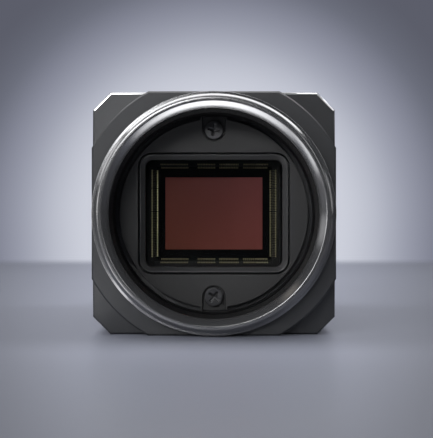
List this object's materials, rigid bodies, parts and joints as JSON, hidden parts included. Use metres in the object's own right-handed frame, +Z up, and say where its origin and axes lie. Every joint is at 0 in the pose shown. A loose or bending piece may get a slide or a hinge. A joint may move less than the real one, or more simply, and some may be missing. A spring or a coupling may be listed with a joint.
{
  "type": "machine vision camera",
  "caption": "Square metal camera body with a threaded lens mount, a framed filter window over an image sensor, and round network and power connectors at the rear.",
  "frame": {"origin": "middle of the camera's bottom face, half way between the lens flange and the back face", "axes": "-Y along the optical axis out of the lens mount, +Z up, +X to the right as seen from the lens side"},
  "size_m": [0.029, 0.052, 0.029],
  "materials": {
    "front_block": "black anodised, satin, turned ring and milled faces",
    "rear_body": "black anodised, satin",
    "retainer_black": "black anodised, matte",
    "screw_steel": "dark oxide, satin",
    "frame_black": "moulded, fine satin",
    "filter_glass": "clear, coated",
    "seal_rubber": "matte",
    "package_ceramic": "matte dark ceramic",
    "sensor_silicon": "smooth silicon with a reddish pixel field",
    "board_green": "solder mask, satin",
    "spacer_brass": "satin",
    "chip_black": "moulded, matte",
    "connector_plastic": "moulded, matte",
    "connector_metal": "nickel-plated, satin",
    "contact_gold": "gold-plated",
    "led_white": "gloss",
    "light_pipe_clear": "clear, gloss"
  },
  "bodies": {
    "root": {"front_housing": "front_block", "main_housing": "rear_body", "rear_plate": "rear_body", "filter_retainer": "retainer_black", "retainer_screws": "screw_steel", "body_screws": "screw_steel", "stack_screws": "screw_steel", "window_frame": "frame_black", "filter_window": "filter_glass", "sensor_cover_glass": "filter_glass", "filter_seal": "seal_rubber", "front_seal": "seal_rubber", "rear_seal": "seal_rubber", "sensor_package": "package_ceramic", "sensor_die": "sensor_silicon", "sensor_board": "board_green", "processor_board": "board_green", "interface_board": "board_green", "sensor_board_spacers": "spacer_brass", "processor_board_spacers": "spacer_brass", "interface_board_spacers": "spacer_brass", "image_processor": "chip_black", "memory_chips": "chip_black", "network_transformer": "chip_black", "power_inductor": "chip_black", "sensor_board_header": "connector_plastic", "processor_board_socket": "connector_plastic", "interface_header": "connector_plastic", "interface_socket": "connector_plastic", "m12_insert": "connector_plastic", "m8_insert": "connector_plastic", "m12_shell": "connector_metal", "m12_shield_cross": "connector_metal", "m8_shell": "connector_metal", "m12_contacts": "contact_gold", "m8_pins": "contact_gold", "status_led": "led_white", "status_light_pipe": "light_pipe_clear"}
  },
  "joints": []
}
